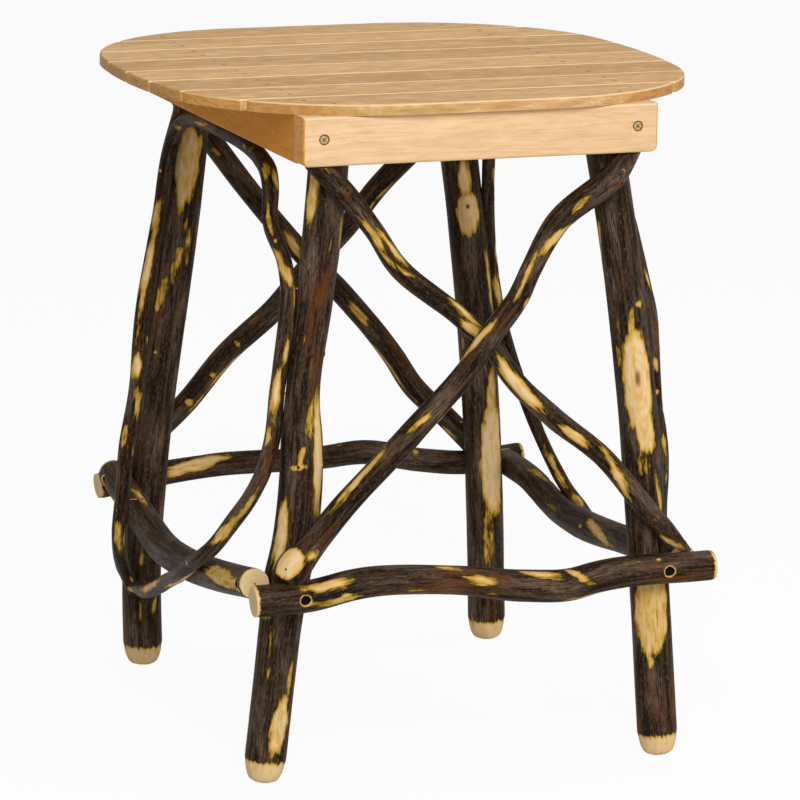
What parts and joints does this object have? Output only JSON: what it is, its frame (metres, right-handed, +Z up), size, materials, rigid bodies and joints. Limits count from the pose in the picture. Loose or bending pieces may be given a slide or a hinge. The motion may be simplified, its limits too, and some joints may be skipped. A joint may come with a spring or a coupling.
{
  "type": "rustic side table",
  "caption": "Square side table with a slatted top on four bark-on poles, tied by pole stretchers and crossed and bent twig braces.",
  "frame": {"origin": "on the floor under the middle of the whole table", "axes": "+X to the right along the front, where the cross-braced face with the long stretcher is; +Y to the back; +Z up"},
  "size_m": [0.51, 0.5298, 0.616],
  "materials": {
    "oak_top": "satin clear-coated oak",
    "oak_apron": "satin clear-coated oak",
    "hickory_pole": "dark bark with peeled patches, satin varnish",
    "hickory_twig": "dark bark with peeled patches, satin varnish",
    "brass_screw": "dull brass",
    "steel_screw": "dark phosphate",
    "steel_nail": "dark, partly coppered"
  },
  "bodies": {
    "root": {"apron_back": "oak_apron", "apron_front": "oak_apron", "apron_left": "oak_apron", "apron_right": "oak_apron", "apron_screws": "brass_screw", "brace_back_thick": "hickory_twig", "brace_back_thin": "hickory_twig", "brace_front_thick": "hickory_twig", "brace_front_thin": "hickory_twig", "brace_left_bow": "hickory_twig", "brace_left_hook": "hickory_twig", "brace_nails": "steel_nail", "brace_right_bow": "hickory_twig", "brace_right_hook": "hickory_twig", "leg_back_left": "hickory_pole", "leg_back_right": "hickory_pole", "leg_front_left": "hickory_pole", "leg_front_right": "hickory_pole", "leg_screws": "steel_screw", "slat_1": "oak_top", "slat_2": "oak_top", "slat_3": "oak_top", "slat_4": "oak_top", "slat_5": "oak_top", "slat_6": "oak_top", "slat_7": "oak_top", "slat_8": "oak_top", "slat_nails": "steel_nail", "stretcher_back": "hickory_pole", "stretcher_front": "hickory_pole", "stretcher_left": "hickory_pole", "stretcher_right": "hickory_pole", "stretcher_screws": "steel_screw"}
  },
  "joints": []
}
